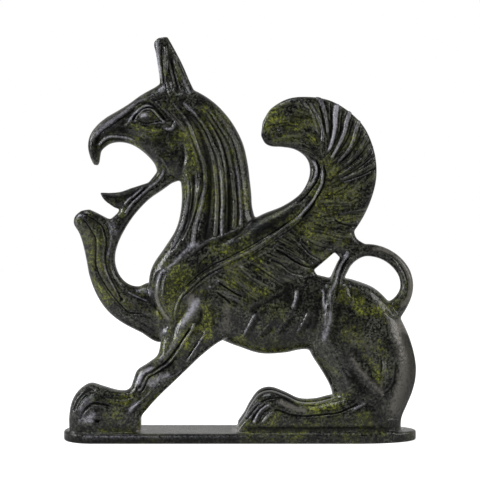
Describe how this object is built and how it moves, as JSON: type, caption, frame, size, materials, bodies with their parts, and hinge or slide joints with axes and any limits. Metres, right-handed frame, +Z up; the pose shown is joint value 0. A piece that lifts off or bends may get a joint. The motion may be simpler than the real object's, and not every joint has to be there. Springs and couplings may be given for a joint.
{
  "type": "griffin statue",
  "caption": "Small cast griffin, crouching on its own thin plinth, with an open beak, a maned neck, a hooked wing, a raised foreleg and a looped tail.",
  "frame": {"origin": "the middle of the plinth's underside", "axes": "+Z up; the griffin looks along -X and its left side, with the planted foreleg, faces -Y"},
  "size_m": [0.1406, 0.0216, 0.16],
  "materials": {
    "patinated_bronze": "near-black green patina with yellow-green mottling, satin to glossy, worn grey on ridges"
  },
  "bodies": {
    "root": {"griffin_statue": "patinated_bronze"}
  },
  "joints": []
}
